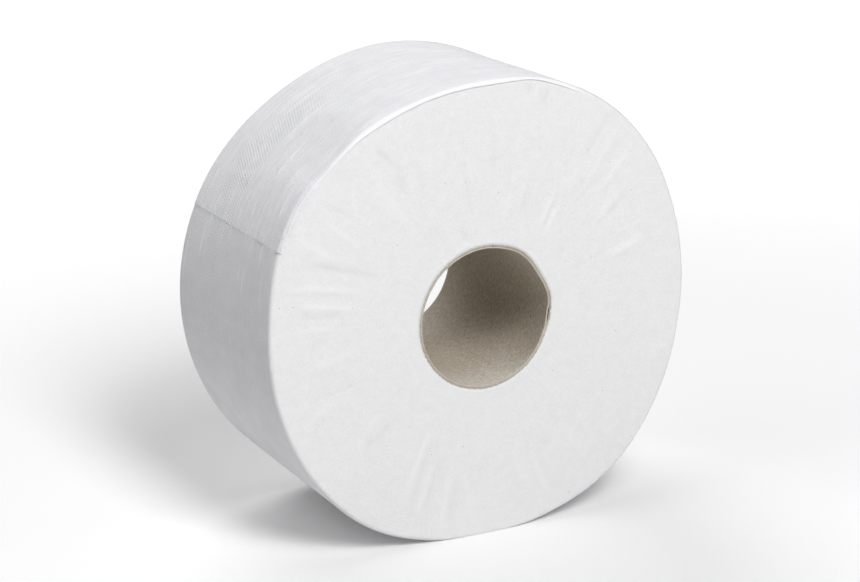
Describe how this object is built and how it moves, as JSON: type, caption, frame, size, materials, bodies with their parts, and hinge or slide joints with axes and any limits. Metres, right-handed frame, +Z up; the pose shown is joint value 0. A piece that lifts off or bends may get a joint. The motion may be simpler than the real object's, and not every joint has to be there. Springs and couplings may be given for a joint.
{
  "type": "toilet paper roll",
  "caption": "Large toilet paper roll: white paper wound on an open cardboard core, resting on a small flat spot, with a perforated tail and loose outer turns proud of one end.",
  "frame": {"origin": "middle of the flat spot that the roll rests on", "axes": "+Z up, +Y along the core from the front end to the back end, +X to the right seen from the front"},
  "size_m": [0.2, 0.0912, 0.1986],
  "materials": {
    "cardboard": "rough grey-brown board",
    "paper": "soft matt white tissue"
  },
  "bodies": {
    "root": {"cardboard_core": "cardboard", "wound_paper": "paper"}
  },
  "joints": []
}
